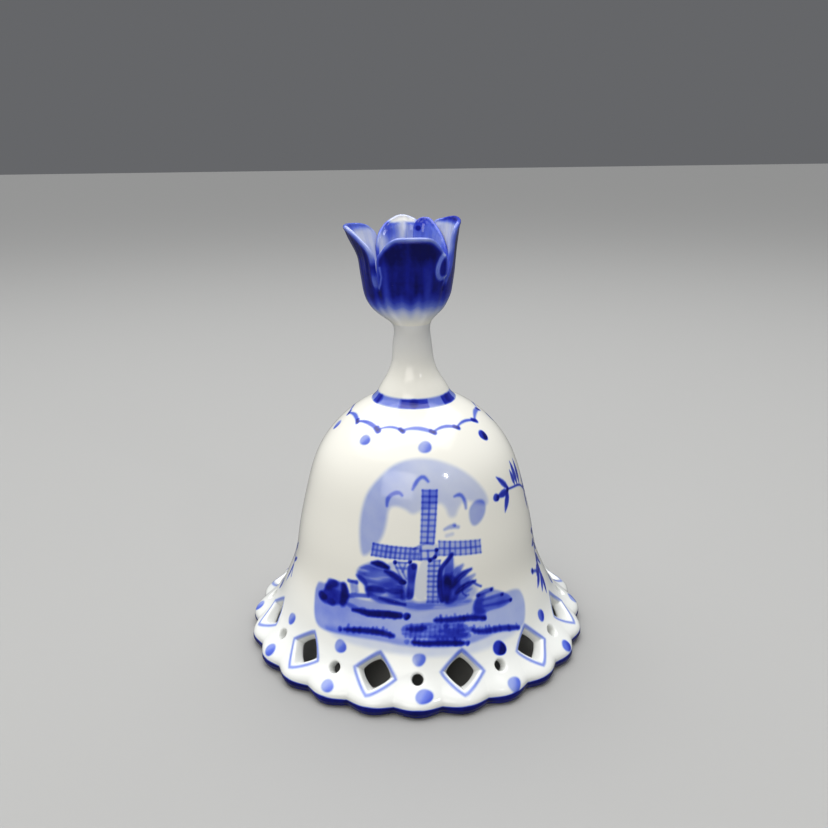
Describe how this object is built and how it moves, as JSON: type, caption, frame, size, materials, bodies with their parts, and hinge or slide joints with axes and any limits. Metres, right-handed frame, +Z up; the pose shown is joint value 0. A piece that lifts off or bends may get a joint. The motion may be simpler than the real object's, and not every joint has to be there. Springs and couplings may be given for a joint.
{
  "type": "porcelain table bell",
  "caption": "Porcelain table bell with a pierced, scalloped skirt, a tulip handle and a bead clapper that swings on a brass swivel.",
  "frame": {"origin": "centre of the foot, on the surface the bell stands on", "axes": "+Z up along the axis of the bell; -Y towards the painted front"},
  "size_m": [0.086, 0.086, 0.1028],
  "materials": {
    "white_porcelain": "gloss",
    "blue_porcelain": "gloss",
    "brass": "satin"
  },
  "bodies": {
    "bell": {"bell_shell": "white_porcelain", "handle_stem": "white_porcelain", "tulip_cup": "blue_porcelain", "petal_front": "blue_porcelain", "petal_left": "blue_porcelain", "petal_right": "blue_porcelain", "petal_back_left": "blue_porcelain", "petal_back_right": "blue_porcelain", "hanger_bush": "brass", "hanger_washer": "brass"},
    "swivel": {"hanger_pin": "brass"},
    "clapper": {"clapper_wire": "brass", "upper_crimp": "brass", "lower_crimp": "brass"},
    "bead": {"clapper_bead": "white_porcelain"}
  },
  "joints": [
    {"name": "hanger_swivel", "type": "hinge", "parent": "bell", "child": "swivel", "pos_m": [0, 0, 0.06], "axis": [0, 0, 1], "continuous": true},
    {"name": "clapper_swing", "type": "hinge", "parent": "swivel", "child": "clapper", "pos_m": [0, 0, 0.0526], "axis": [1, 0, 0], "range_deg": [-33.5, 33.5]},
    {"name": "bead_spin", "type": "hinge", "parent": "clapper", "child": "bead", "pos_m": [0, 0, 0.017], "axis": [0, 0, 1], "continuous": true}
  ]
}
